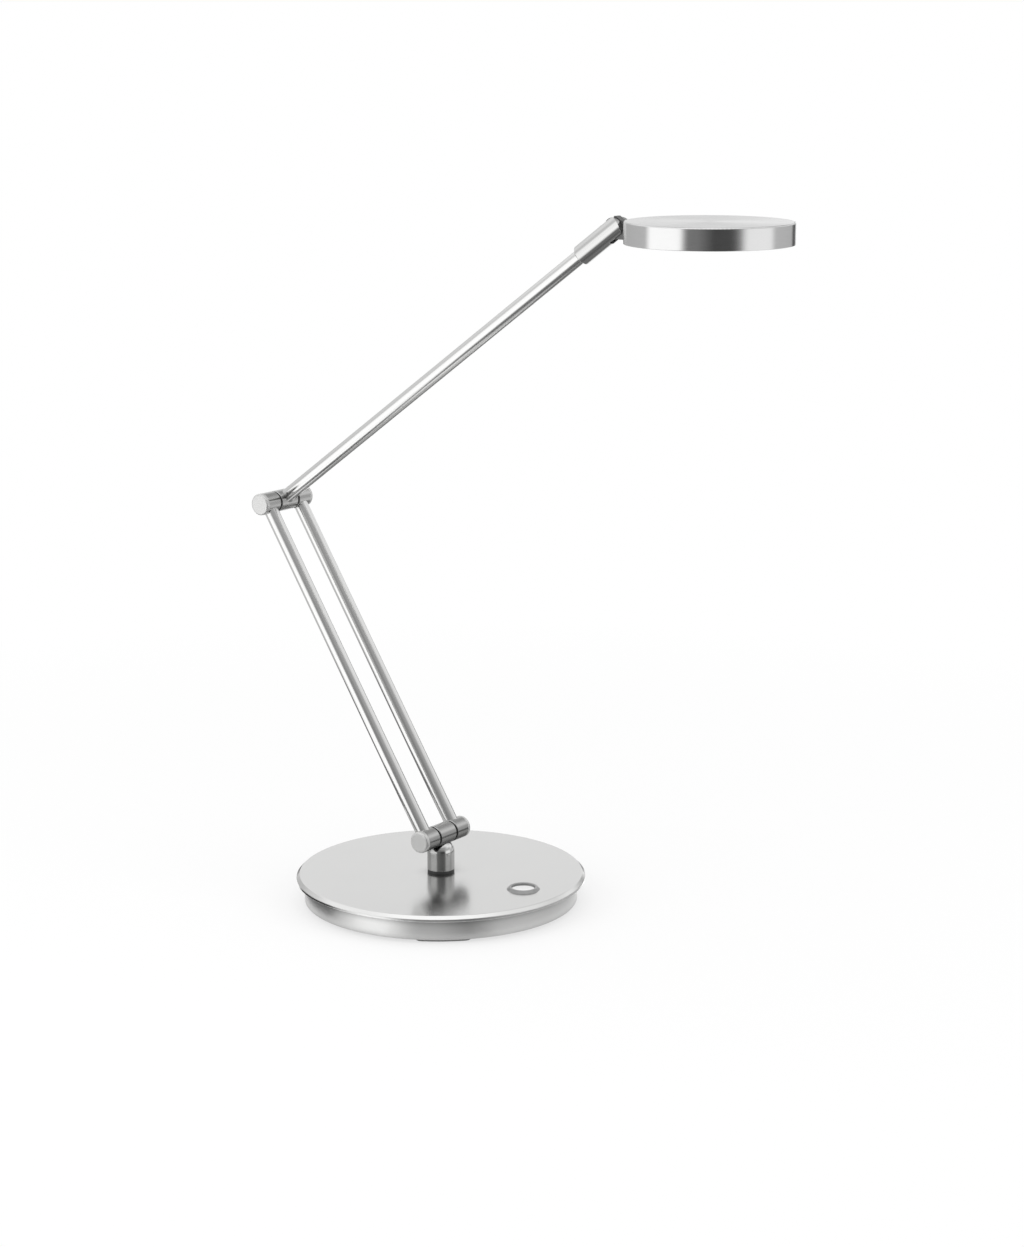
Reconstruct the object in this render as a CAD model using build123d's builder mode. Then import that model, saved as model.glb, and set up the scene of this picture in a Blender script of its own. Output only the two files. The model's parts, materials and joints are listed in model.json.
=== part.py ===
"""LED desk lamp: weighted round base, swivelling post, twin lower rods, upper arm tube and flat disc head.

Millimetres, +Z up, +X towards the head. The origin lies on the table under the post's axis.
"""

import math
import os

from build123d import *

os.makedirs("parts", exist_ok=True)

# Clearances
running_clearance = 0.05
loose_clearance = 0.3

# Base pan
plate_diameter = 200.0
plate_thickness = 4.0
plate_bevel = 2.2
plate_edge_round = 0.5
skirt_inset = 5.5
skirt_height = 14.0
skirt_wall = 1.5
skirt_flange_width = 4.0
foot_drop = 2.5
cover_recess = 1.0
cover_thickness = 1.5

# Base ballast and its channels
weight_thickness = 8.5
weight_margin = 3.0
weight_centre_hole = 40.0
channel_width = 11.0

# Cover screws and the bosses that take them
boss_margin = 6.5
boss_diameter = 9.0
boss_count = 4
cover_screw_diameter = 3.0
cover_screw_head_diameter = 5.6
cover_screw_head_height = 1.6
cover_screw_depth = 7.0

# Rubber feet
front_foot_angle = 52.0
rear_foot_angle = 140.0
foot_width = 9.0
foot_arc = 18.5
foot_inset = 3.0

# Button and the switch under it
button_inset = 30.0
button_cap_diameter = 15.6
button_cap_gap = 0.2
button_cap_recess = 1.1
button_dish_depth = 0.5
button_flange_width = 0.8
button_flange_height = 1.0
button_stem_diameter = 4.0
bezel_rim_width = 3.3
bezel_rim_height = 1.7
bezel_edge_round = 0.5
bezel_lip_height = 1.9
bezel_wall = 0.7
bezel_tail = 0.9
button_travel = 0.8
switch_width = 6.0
switch_height = 3.5
switch_floor = 0.6
plunger_diameter = 3.4
dome_thickness = 0.15

# Driver board
board_length = 38.0
board_width = 32.0
board_thickness = 1.6
board_drop = 5.0
board_setback = 9.0
board_room = 3.0
standoff_diameter = 5.0
standoff_inset = 3.5
chip_length = 6.0
chip_width = 5.0
chip_height = 1.6
coil_diameter = 8.0
coil_height = 4.0
capacitor_diameter = 4.5
capacitor_length = 9.0

# Power inlet
inlet_depth = 14.0
inlet_width = 9.0
inlet_height = 8.5
inlet_neck_diameter = 8.0
inlet_neck_length = 5.0
inlet_bore_diameter = 5.6
inlet_bore_depth = 9.5
inlet_pin_diameter = 2.0
inlet_pin_recess = 1.0
inlet_nut_width = 11.0
inlet_nut_height = 2.0
inlet_room = 3.5

# Leads
lead_diameter = 3.0
lead_bend_radius = 4.0
lead_spacing = 7.0
lead_room = 14.0
lead_end_inset = 6.0

# Post and swivel
post_diameter = 19.0
post_shoulder = 3.5
post_dome_round = 9.0
lower_axis_rise = 26.3
swivel_washer_thickness = 2.0
swivel_washer_inset = 0.2
stem_diameter = 12.0
stem_bore_diameter = 7.0
stem_engagement = 9.0
stop_washer_diameter = 23.0
stop_washer_thickness = 1.5
stop_tab_width = 5.0
stop_tab_reach = 16.5
stop_pin_diameter = 3.0
stop_pin_depth = 1.5
stop_pin_length = 4.0
spring_washer_diameter = 20.0
spring_washer_thickness = 1.0
stem_nut_width = 17.0
stem_nut_height = 4.6
stem_tail = 0.5

# Barrels at the lower joint and the elbow
barrel_diameter = 15.0
hub_width = 17.2
friction_washer_thickness = 1.4
friction_washer_inset = 1.0
knuckle_width = 12.0
cap_thickness = 3.0
cap_edge_round = 1.4
cap_spigot_length = 1.0
barrel_chamfer = 0.4
axle_diameter = 6.0
axle_head_diameter = 9.0
axle_head_height = 1.8
axle_pocket_depth = 3.0
axle_pocket_gap = 0.2

# Tubes and the plugs in their ends
tube_diameter = 10.0
tube_wall = 1.0
tube_seat = 5.4
plug_length = 12.0
stud_diameter = 5.2
stud_gap = 0.4

# Pose of the arms at rest
lower_arm_length = 260.0
lower_arm_lean = 32.0
upper_arm_length = 344.0
upper_arm_rise = 36.0

# Sleeve that rolls on the upper arm
sleeve_diameter = 14.0
sleeve_chamfer = 1.0
sleeve_engagement = 19.0
bush_thickness = 0.75
bush_length = 15.6
bush_inset = 0.6
web_thickness = 3.0
web_gap = 0.2
roll_screw_diameter = 3.0
roll_screw_head_diameter = 5.8
roll_screw_head_height = 1.8
roll_screw_head_gap = 0.4
roll_screw_depth = 8.0

# Hinge between the sleeve and the head
tongue_thickness = 5.0
tongue_radius = 6.9
slot_clearance = 0.5
neck_setback = 0.5
neck_length = 8.0
neck_rise = 7.7
neck_crest = 1.6
neck_shoulder = 5.0
tilt_washer_thickness = 0.6
tilt_washer_diameter = 10.0
hinge_pin_diameter = 4.0
hinge_pin_cover = 1.6
hinge_pin_recess = 0.6
bracket_width = 14.0
bracket_height = 10.0
bracket_thickness = 3.0
bracket_screw_spacing = 9.0
bracket_screw_diameter = 2.0
bracket_screw_head_diameter = 3.6
bracket_screw_head_height = 1.4
bracket_screw_depth = 2.2

# Head
head_diameter = 106.0
head_thickness = 14.0
hinge_to_rim = 16.4
head_lift = 0.2
head_edge_round = 0.9
head_foot_round = 0.4
shell_top = 2.0
shell_wall = 1.8
pad_thickness = 0.5
pad_margin = 2.0
led_board_thickness = 1.6
led_board_margin = 2.4
led_length = 3.5
led_width = 2.8
led_height = 0.7
led_rings = 3
leds_in_first_ring = 6
led_screw_margin = 1.0
led_screw_count = 3
led_screw_diameter = 2.4
led_screw_head_diameter = 4.4
led_screw_head_height = 1.2
led_screw_bite = 1.2
reflector_wall = 1.0
reflector_foot = 6.0
reflector_flare = 3.3
diffuser_thickness = 2.0
diffuser_gap = 0.2
diffuser_ring_width = 2.4
diffuser_ring_thickness = 0.8
diffuser_ring_recess = 0.2

# Levels of the base
plate_radius = plate_diameter / 2
skirt_radius = plate_radius - skirt_inset
pan_radius = skirt_radius - skirt_wall
skirt_bottom = foot_drop
plate_under = skirt_bottom + skirt_height
plate_top = plate_under + plate_thickness
flange_under = plate_under - skirt_wall
cover_under = skirt_bottom + cover_recess
cover_top = cover_under + cover_thickness
boss_place = pan_radius - skirt_flange_width - boss_margin - boss_diameter / 2
button_reach = plate_radius - button_inset
board_offset = button_reach - board_setback

# Joint centres
lower_axis = Vector(0, 0, plate_top + lower_axis_rise)
lean = math.radians(lower_arm_lean)
lower_direction = Vector(-math.sin(lean), 0, math.cos(lean))
elbow_axis = lower_axis + lower_direction * lower_arm_length
rise = math.radians(upper_arm_rise)
upper_direction = Vector(math.cos(rise), 0, math.sin(rise))
tilt_axis = elbow_axis + upper_direction * upper_arm_length
head_radius = head_diameter / 2
head_reach = head_radius + hinge_to_rim
head_centre = tilt_axis + Vector(head_reach, 0, head_lift)

# Stations along a barrel, measured from its middle
hub_face = hub_width / 2
knuckle_start = hub_face + friction_washer_thickness
knuckle_end = knuckle_start + knuckle_width
knuckle_middle = (knuckle_start + knuckle_end) / 2
axle_seat = knuckle_end - axle_pocket_depth
barrel_radius = barrel_diameter / 2
axle_radius = axle_diameter / 2
tube_radius = tube_diameter / 2
tube_bore = tube_radius - tube_wall
stud_end = axle_radius + stud_gap
lead_radius = lead_diameter / 2
lead_hole = lead_radius + 2 * running_clearance


def write(builder, name):
    """Label a finished piece and write it under that name."""
    builder.part.label = name
    export_step(builder.part, f"parts/{name}.step")


def across(centre, station=0.0):
    """Plane at a station on a barrel whose axis runs along +Y through the centre."""
    return Plane(origin=(centre.X, station, centre.Z), x_dir=(1, 0, 0), z_dir=(0, 1, 0))


def along(centre, direction, side=0.0, distance=0.0):
    """Plane square to a tube that leaves a barrel in the given direction at a place on its length."""
    start = centre + direction * distance
    return Plane(origin=(start.X, side, start.Z), x_dir=(0, 1, 0), z_dir=direction)


def level(height):
    """Horizontal plane at a height above the table."""
    return Plane.XY.offset(height)


# Base plate
button_spot = (button_reach, 0)
cap_radius = button_cap_diameter / 2
lip_radius = cap_radius + button_cap_gap
cap_flange_radius = cap_radius + button_flange_width
bezel_bore = cap_flange_radius + loose_clearance
bezel_radius = bezel_bore + bezel_wall
stem_radius = stem_diameter / 2
stop_circle = stop_tab_reach - stop_pin_diameter / 2

with BuildPart() as base_plate:
    with BuildSketch(level(plate_under)):
        Circle(plate_radius)
    extrude(amount=plate_thickness)
    chamfer(base_plate.edges().filter_by(GeomType.CIRCLE).sort_by(Axis.Z)[-1], plate_bevel)
    fillet(base_plate.edges().filter_by(GeomType.CIRCLE), plate_edge_round)
    with BuildSketch(level(plate_under)):
        Circle(stem_radius + running_clearance)
        with Locations(button_spot):
            Circle(bezel_radius)
    extrude(amount=plate_thickness, mode=Mode.SUBTRACT)
    with BuildSketch(level(plate_under)):
        with Locations((-stop_circle, 0)):
            Circle(stop_pin_diameter / 2)
    extrude(amount=stop_pin_depth, mode=Mode.SUBTRACT)
write(base_plate, "base_plate")

# Drum skirt with an inward flange under the plate and a hole for the power inlet
inlet_level = (cover_top + flange_under) / 2
rear = Plane(origin=(0, 0, inlet_level), x_dir=(0, 1, 0), z_dir=(-1, 0, 0))

with BuildPart() as base_skirt:
    with BuildSketch(level(skirt_bottom)):
        Circle(skirt_radius)
        Circle(pan_radius, mode=Mode.SUBTRACT)
    extrude(amount=skirt_height)
    with BuildSketch(level(flange_under)):
        Circle(pan_radius)
        Circle(pan_radius - skirt_flange_width, mode=Mode.SUBTRACT)
    extrude(amount=skirt_wall)
    with BuildSketch(rear.offset(pan_radius - skirt_wall)):
        Circle(inlet_neck_diameter / 2)
    extrude(amount=3 * skirt_wall, mode=Mode.SUBTRACT)
write(base_skirt, "base_skirt")

# Bosses welded under the plate
with BuildPart() as cover_bosses:
    with BuildSketch(level(cover_top)):
        with PolarLocations(boss_place, boss_count, start_angle=180 / boss_count):
            Circle(boss_diameter / 2)
    extrude(amount=plate_under - cover_top)
    with BuildSketch(level(cover_top)):
        with PolarLocations(boss_place, boss_count, start_angle=180 / boss_count):
            Circle(cover_screw_diameter / 2)
    extrude(amount=cover_screw_depth, mode=Mode.SUBTRACT)
write(cover_bosses, "cover_bosses")

# Bottom cover
with BuildPart() as base_cover:
    with BuildSketch(level(cover_under)):
        Circle(pan_radius - loose_clearance)
        with PolarLocations(boss_place, boss_count, start_angle=180 / boss_count):
            Circle(cover_screw_diameter / 2, mode=Mode.SUBTRACT)
    extrude(amount=cover_thickness)
write(base_cover, "base_cover")

with BuildPart() as cover_screws:
    with BuildSketch(level(cover_under)):
        with PolarLocations(boss_place, boss_count, start_angle=180 / boss_count):
            Circle(cover_screw_head_diameter / 2)
    extrude(amount=-cover_screw_head_height)
    with BuildSketch(level(cover_under)):
        with PolarLocations(boss_place, boss_count, start_angle=180 / boss_count):
            Circle(cover_screw_diameter / 2)
    extrude(amount=cover_thickness + cover_screw_depth)
write(cover_screws, "cover_screws")

# Cast ballast, cut away for the driver board, the inlet, the swivel and the leads
board_back = board_offset - board_length / 2
inlet_face = math.sqrt(pan_radius**2 - (inlet_width / 2) ** 2)
inlet_back = inlet_face - inlet_depth

with BuildPart() as base_weight:
    with BuildSketch(level(cover_top)):
        Circle(pan_radius - weight_margin)
        Circle(weight_centre_hole / 2, mode=Mode.SUBTRACT)
        with PolarLocations(boss_place, boss_count, start_angle=180 / boss_count):
            Circle(boss_diameter / 2 + loose_clearance, mode=Mode.SUBTRACT)
        with Locations((board_offset, 0)):
            Rectangle(board_length + 2 * board_room, board_width + 2 * board_room, mode=Mode.SUBTRACT)
        with Locations((-pan_radius, 0)):
            Rectangle(
                pan_radius - inlet_back + lead_room,
                inlet_width + 2 * inlet_room,
                align=(Align.MIN, Align.CENTER),
                mode=Mode.SUBTRACT,
            )
        with Locations((-inlet_back, 0)):
            Rectangle(
                inlet_back + board_back,
                channel_width,
                align=(Align.MIN, Align.CENTER),
                mode=Mode.SUBTRACT,
            )
    extrude(amount=weight_thickness)
write(base_weight, "base_weight")

# Rubber feet: four arcs glued to the cover
foot_outer = pan_radius - foot_inset
foot_middle = foot_outer - foot_width / 2
foot_places = [front_foot_angle, rear_foot_angle, -rear_foot_angle, -front_foot_angle]

with BuildPart() as rubber_feet:
    with BuildSketch():
        for place in foot_places:
            with BuildLine(mode=Mode.PRIVATE) as foot_line:
                CenterArc((0, 0), foot_middle, place - foot_arc / 2, foot_arc)
            SlotArc(foot_line.line.edge(), foot_width)
    extrude(amount=cover_under)
write(rubber_feet, "rubber_feet")

# Button: bezel ring, cap, switch housing, plunger and snap dome
bezel_top = plate_top + bezel_rim_height
lip_under = bezel_top - bezel_lip_height
bezel_bottom = plate_under - bezel_tail
cap_flange_top = lip_under - button_cap_gap
cap_flange_under = cap_flange_top - button_flange_height
cap_top = bezel_top - button_cap_recess
board_top = plate_under - board_drop
board_under = board_top - board_thickness
switch_top = board_top + switch_height
plunger_top = switch_top + button_travel
plunger_bottom = board_top + switch_floor + button_travel
button_side = Plane.XZ.shift_origin((button_reach, 0, 0))

with BuildPart() as button_bezel:
    with BuildSketch(button_side):
        with BuildLine():
            Polyline(
                (lip_radius, bezel_top),
                (lip_radius + bezel_rim_width - bezel_rim_height, bezel_top),
                (lip_radius + bezel_rim_width, plate_top),
                (bezel_radius, plate_top),
                (bezel_radius, bezel_bottom),
                (bezel_bore, bezel_bottom),
                (bezel_bore, lip_under),
                (lip_radius, lip_under),
                close=True,
            )
        make_face()
    revolve(axis=Axis((button_reach, 0, 0), (0, 0, 1)))
    fillet(button_bezel.edges().filter_by(GeomType.CIRCLE).group_by(Axis.Z)[-1], bezel_edge_round)
write(button_bezel, "button_bezel")

with BuildPart() as button_cap:
    with BuildSketch(button_side):
        with BuildLine():
            rim_corner = (cap_radius, cap_top)
            Polyline(
                (0, cap_top - button_dish_depth),
                (0, plunger_top),
                (button_stem_diameter / 2, plunger_top),
                (button_stem_diameter / 2, cap_flange_under),
                (cap_flange_radius, cap_flange_under),
                (cap_flange_radius, cap_flange_top),
                (cap_radius, cap_flange_top),
                rim_corner,
            )
            dish_ball = (cap_radius**2 + button_dish_depth**2) / (2 * button_dish_depth)
            RadiusArc(rim_corner, (0, cap_top - button_dish_depth), dish_ball)
        make_face()
    revolve(axis=Axis((button_reach, 0, 0), (0, 0, 1)))
write(button_cap, "button_cap")

with BuildPart() as switch_housing:
    with BuildSketch(level(board_top)):
        with Locations(button_spot):
            Rectangle(switch_width, switch_width)
    extrude(amount=switch_height)
    with BuildSketch(level(board_top + switch_floor)):
        with Locations(button_spot):
            Circle(plunger_diameter / 2 + running_clearance)
    extrude(amount=switch_height, mode=Mode.SUBTRACT)
write(switch_housing, "switch_housing")

with BuildPart() as switch_plunger:
    with BuildSketch(level(plunger_bottom)):
        with Locations(button_spot):
            Circle(plunger_diameter / 2)
    extrude(amount=plunger_top - plunger_bottom)
write(switch_plunger, "switch_plunger")

dome_foot = board_top + switch_floor
dome_radius = plunger_diameter / 2 - running_clearance
dome_ball = (dome_radius**2 + button_travel**2) / (2 * button_travel)

with BuildPart() as switch_dome:
    with BuildSketch(button_side):
        with Locations((0, plunger_bottom - dome_ball)):
            Circle(dome_ball)
            Circle(dome_ball - dome_thickness, mode=Mode.SUBTRACT)
        with Locations((0, dome_foot)):
            Rectangle(dome_radius, button_travel, align=(Align.MIN, Align.MIN), mode=Mode.INTERSECT)
    revolve(axis=Axis((button_reach, 0, 0), (0, 0, 1)))
write(switch_dome, "switch_dome")

# Driver board hung under the plate
standoff_pitch_x = board_length - 2 * standoff_inset
standoff_pitch_y = board_width - 2 * standoff_inset

with BuildPart() as driver_board:
    with BuildSketch(level(board_under)):
        with Locations((board_offset, 0)):
            Rectangle(board_length, board_width)
    extrude(amount=board_thickness)
write(driver_board, "driver_board")

with BuildPart() as board_standoffs:
    with BuildSketch(level(board_top)):
        with Locations((board_offset, 0)):
            with GridLocations(standoff_pitch_x, standoff_pitch_y, 2, 2):
                Circle(standoff_diameter / 2)
    extrude(amount=board_drop)
write(board_standoffs, "board_standoffs")

capacitor_plane = Plane(
    origin=(board_offset - capacitor_length / 2, board_width / 4, board_under - capacitor_diameter / 2),
    x_dir=(0, 1, 0),
    z_dir=(1, 0, 0),
)

with BuildPart() as board_components:
    with BuildSketch(level(board_under)):
        with Locations((board_offset + board_length / 4, 0)):
            Rectangle(chip_length, chip_width)
    extrude(amount=-chip_height)
    with BuildSketch(level(board_under)):
        with Locations((board_offset, -board_width / 4)):
            Circle(coil_diameter / 2)
    extrude(amount=-coil_height)
    with BuildSketch(capacitor_plane):
        Circle(capacitor_diameter / 2)
    extrude(amount=capacitor_length)
write(board_components, "board_components")

# Power inlet in the back of the skirt
inlet_mouth = inlet_face + inlet_neck_length

with BuildPart() as power_inlet:
    with BuildSketch(rear.offset(inlet_back)):
        Rectangle(inlet_width, inlet_height)
    extrude(amount=inlet_depth)
    with BuildSketch(rear.offset(inlet_face)):
        Circle(inlet_neck_diameter / 2)
    extrude(amount=inlet_neck_length)
    with BuildSketch(rear.offset(inlet_mouth)):
        Circle(inlet_bore_diameter / 2)
    extrude(amount=-inlet_bore_depth, mode=Mode.SUBTRACT)
write(power_inlet, "power_inlet")

with BuildPart() as inlet_pin:
    with BuildSketch(rear.offset(inlet_mouth - inlet_bore_depth)):
        Circle(inlet_pin_diameter / 2)
    extrude(amount=inlet_bore_depth - inlet_pin_recess)
write(inlet_pin, "inlet_pin")

with BuildPart() as inlet_nut:
    with BuildSketch(rear.offset(skirt_radius)):
        RegularPolygon(inlet_nut_width / 2, 6, major_radius=False)
        Circle(inlet_neck_diameter / 2, mode=Mode.SUBTRACT)
    extrude(amount=inlet_nut_height)
write(inlet_nut, "inlet_nut")

# Leads in the base: inlet to board, and board up through the swivel stem
lead_level = cover_top + lead_radius
lead_turn = inlet_back - lead_bend_radius - lead_radius
board_landing = board_back + lead_end_inset
post_top = lower_axis.Z - post_shoulder
lead_top = lower_axis.Z - barrel_radius - loose_clearance

with BuildPart() as inlet_lead:
    with BuildLine() as inlet_route:
        FilletPolyline(
            (-inlet_back, -lead_spacing / 2, inlet_level),
            (-lead_turn, -lead_spacing / 2, inlet_level),
            (-lead_turn + lead_bend_radius, -lead_spacing / 2, lead_level),
            (board_landing, -lead_spacing / 2, lead_level),
            (board_landing, -lead_spacing / 2, board_under),
            radius=[lead_radius * 1.2, lead_radius * 1.2, lead_radius * 1.6],
        )
    with BuildSketch(Plane(inlet_route.line @ 0, z_dir=inlet_route.line % 0)):
        Circle(lead_radius)
    sweep(path=inlet_route.line)
write(inlet_lead, "inlet_lead")

with BuildPart() as stem_lead:
    with BuildLine() as stem_route:
        FilletPolyline(
            (board_landing, lead_spacing / 2, board_under),
            (board_landing, lead_spacing / 2, lead_level),
            (weight_centre_hole / 2, lead_spacing / 2, lead_level),
            (0, 0, lead_level),
            (0, 0, lead_top),
            radius=lead_radius * 1.6,
        )
    with BuildSketch(Plane(stem_route.line @ 0, z_dir=stem_route.line % 0)):
        Circle(lead_radius)
    sweep(path=stem_route.line)
write(stem_lead, "stem_lead")

# Swivel under and over the plate
post_radius = post_diameter / 2
post_foot = plate_top + swivel_washer_thickness
stop_washer_under = plate_under - stop_washer_thickness
spring_washer_under = stop_washer_under - spring_washer_thickness
stem_nut_under = spring_washer_under - stem_nut_height
stem_foot = stem_nut_under - stem_tail
stem_head = post_foot + stem_engagement

with BuildPart() as stop_pin:
    with BuildSketch(level(plate_under + stop_pin_depth)):
        with Locations((-stop_circle, 0)):
            Circle(stop_pin_diameter / 2)
    extrude(amount=-stop_pin_length)
write(stop_pin, "stop_pin")

with BuildPart() as swivel_washer:
    with BuildSketch(level(plate_top)):
        Circle(post_radius - swivel_washer_inset)
        Circle(stem_radius + running_clearance, mode=Mode.SUBTRACT)
    extrude(amount=swivel_washer_thickness)
write(swivel_washer, "swivel_washer")

with BuildPart() as stop_washer:
    with BuildSketch(level(stop_washer_under)):
        Circle(stop_washer_diameter / 2)
        Rectangle(stop_tab_reach, stop_tab_width, align=(Align.MIN, Align.CENTER))
        Circle(stem_radius, mode=Mode.SUBTRACT)
    extrude(amount=stop_washer_thickness)
write(stop_washer, "stop_washer")

with BuildPart() as spring_washer:
    with BuildSketch(level(spring_washer_under)):
        Circle(spring_washer_diameter / 2)
        Circle(stem_radius, mode=Mode.SUBTRACT)
    extrude(amount=spring_washer_thickness)
write(spring_washer, "spring_washer")

with BuildPart() as stem_nut:
    with BuildSketch(level(stem_nut_under)):
        RegularPolygon(stem_nut_width / 2, 6, major_radius=False)
        Circle(stem_radius, mode=Mode.SUBTRACT)
    extrude(amount=stem_nut_height)
write(stem_nut, "stem_nut")

with BuildPart() as swivel_stem:
    with BuildSketch(level(stem_foot)):
        Circle(stem_radius)
        Circle(stem_bore_diameter / 2, mode=Mode.SUBTRACT)
    extrude(amount=stem_head - stem_foot)
write(swivel_stem, "swivel_stem")

with BuildPart() as post:
    with BuildSketch(level(post_foot)):
        Circle(post_radius)
    extrude(amount=post_top - post_foot)
    fillet(post.edges().filter_by(GeomType.CIRCLE).sort_by(Axis.Z)[-1], post_dome_round)
    with BuildSketch(level(post_foot)):
        Circle(stem_radius)
    extrude(amount=stem_engagement, mode=Mode.SUBTRACT)
    with BuildSketch(level(post_foot)):
        Circle(stem_bore_diameter / 2)
    extrude(amount=post_top - post_foot, mode=Mode.SUBTRACT)
    with BuildSketch(across(lower_axis, -post_diameter)):
        Circle(barrel_radius)
    extrude(amount=2 * post_diameter, mode=Mode.SUBTRACT)
write(post, "post")

# Lower hub on the post
with BuildPart() as lower_hub:
    with BuildSketch(across(lower_axis, -hub_face)):
        Circle(barrel_radius)
        Circle(axle_radius + running_clearance, mode=Mode.SUBTRACT)
    extrude(amount=hub_width)
    chamfer(lower_hub.edges().filter_by(GeomType.CIRCLE).group_by(SortBy.RADIUS)[-1], barrel_chamfer)
write(lower_hub, "lower_hub")

# Elbow hub, bored for the upper arm's tube and its stud
with BuildPart() as elbow_hub:
    with BuildSketch(across(elbow_axis, -hub_face)):
        Circle(barrel_radius)
        Circle(axle_radius + running_clearance, mode=Mode.SUBTRACT)
    extrude(amount=hub_width)
    chamfer(elbow_hub.edges().filter_by(GeomType.CIRCLE).group_by(SortBy.RADIUS)[-1], barrel_chamfer)
    with BuildSketch(along(elbow_axis, upper_direction, distance=tube_seat)):
        Circle(tube_radius)
    extrude(amount=barrel_radius, mode=Mode.SUBTRACT)
    with BuildSketch(along(elbow_axis, upper_direction)):
        Circle(stud_diameter / 2)
    extrude(amount=tube_seat, mode=Mode.SUBTRACT)
write(elbow_hub, "elbow_hub")

# Knuckles on either side of each hub
pocket_radius = axle_head_diameter / 2 + axle_pocket_gap
barrels = {"lower": (lower_axis, lower_direction), "elbow": (elbow_axis, -lower_direction)}
sides = {"near": -1, "far": 1}

for barrel_name, (centre, rod_direction) in barrels.items():
    for side_name, side in sides.items():
        with BuildPart() as knuckle:
            with BuildSketch(across(centre, side * knuckle_start)):
                Circle(barrel_radius)
                Circle(axle_radius, mode=Mode.SUBTRACT)
            extrude(amount=side * knuckle_width)
            rims = knuckle.edges().filter_by(GeomType.CIRCLE).group_by(SortBy.RADIUS)[-1].sort_by(Axis.Y)
            chamfer(rims[0] if side > 0 else rims[-1], barrel_chamfer)
            with BuildSketch(across(centre, side * axle_seat)):
                Circle(pocket_radius)
            extrude(amount=side * axle_pocket_depth, mode=Mode.SUBTRACT)
            with BuildSketch(along(centre, rod_direction, side * knuckle_middle, tube_seat)):
                Circle(tube_radius)
            extrude(amount=barrel_radius, mode=Mode.SUBTRACT)
            with BuildSketch(along(centre, rod_direction, side * knuckle_middle)):
                Circle(stud_diameter / 2)
            extrude(amount=tube_seat, mode=Mode.SUBTRACT)
        write(knuckle, f"{barrel_name}_knuckle_{side_name}")

# Through bolts, nuts, friction washers and end caps of both barrels
with BuildPart() as barrel_bolts:
    for centre, rod_direction in barrels.values():
        with BuildSketch(across(centre, -axle_seat)):
            Circle(axle_radius)
        extrude(amount=2 * axle_seat + axle_head_height)
        with BuildSketch(across(centre, -axle_seat)):
            Circle(axle_head_diameter / 2)
        extrude(amount=-axle_head_height)
write(barrel_bolts, "barrel_bolts")

with BuildPart() as barrel_nuts:
    for centre, rod_direction in barrels.values():
        with BuildSketch(across(centre, axle_seat)):
            RegularPolygon(axle_head_diameter / 2, 6)
            Circle(axle_radius, mode=Mode.SUBTRACT)
        extrude(amount=axle_head_height)
write(barrel_nuts, "barrel_nuts")

with BuildPart() as friction_washers:
    for centre, rod_direction in barrels.values():
        for side in sides.values():
            with BuildSketch(across(centre, side * hub_face)):
                Circle(barrel_radius - friction_washer_inset)
                Circle(axle_radius, mode=Mode.SUBTRACT)
            extrude(amount=side * friction_washer_thickness)
write(friction_washers, "friction_washers")

with BuildPart() as end_caps:
    for centre, rod_direction in barrels.values():
        for side in sides.values():
            with BuildSketch(across(centre, side * knuckle_end)):
                Circle(barrel_radius)
            extrude(amount=side * cap_thickness)
            with BuildSketch(across(centre, side * knuckle_end)):
                Circle(axle_head_diameter / 2)
            extrude(amount=-side * cap_spigot_length)
    cap_rims = end_caps.edges().filter_by(GeomType.CIRCLE).group_by(SortBy.RADIUS)[-1]
    cap_middle = knuckle_end + cap_thickness / 2
    fillet(cap_rims.filter_by(lambda rim: abs(rim.center().Y) > cap_middle), cap_edge_round)
write(end_caps, "end_caps")

# Twin rods between the barrels, with threaded plugs in their ends
rod_length = lower_arm_length - 2 * tube_seat

for side_name, side in sides.items():
    with BuildPart() as rod:
        with BuildSketch(along(lower_axis, lower_direction, side * knuckle_middle, tube_seat)):
            Circle(tube_radius)
            Circle(tube_bore, mode=Mode.SUBTRACT)
        extrude(amount=rod_length)
    write(rod, f"rod_{side_name}")

with BuildPart() as rod_plugs:
    for centre, rod_direction in barrels.values():
        for side in sides.values():
            with BuildSketch(along(centre, rod_direction, side * knuckle_middle, stud_end)):
                Circle(stud_diameter / 2)
            extrude(amount=tube_seat - stud_end)
            with BuildSketch(along(centre, rod_direction, side * knuckle_middle, tube_seat)):
                Circle(tube_bore)
            extrude(amount=plug_length)
            with BuildSketch(along(centre, rod_direction, side * knuckle_middle)):
                Circle(lead_hole)
            extrude(amount=tube_seat + plug_length, mode=Mode.SUBTRACT)
write(rod_plugs, "rod_plugs")

with BuildPart() as rod_lead:
    with BuildSketch(along(lower_axis, lower_direction, -knuckle_middle, stud_end)):
        Circle(lead_radius)
    extrude(amount=lower_arm_length - 2 * stud_end)
write(rod_lead, "rod_lead")

# Upper arm with a plug at each end
sleeve_radius = sleeve_diameter / 2
slot_start = upper_arm_length - tongue_radius - slot_clearance
web_end = slot_start - roll_screw_head_gap - roll_screw_head_height - web_gap
web_start = web_end - web_thickness
arm_end = web_start - web_gap
sleeve_start = arm_end - sleeve_engagement
sleeve_length = upper_arm_length - sleeve_start

with BuildPart() as upper_arm:
    with BuildSketch(along(elbow_axis, upper_direction, distance=tube_seat)):
        Circle(tube_radius)
        Circle(tube_bore, mode=Mode.SUBTRACT)
    extrude(amount=arm_end - tube_seat)
write(upper_arm, "upper_arm")

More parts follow.
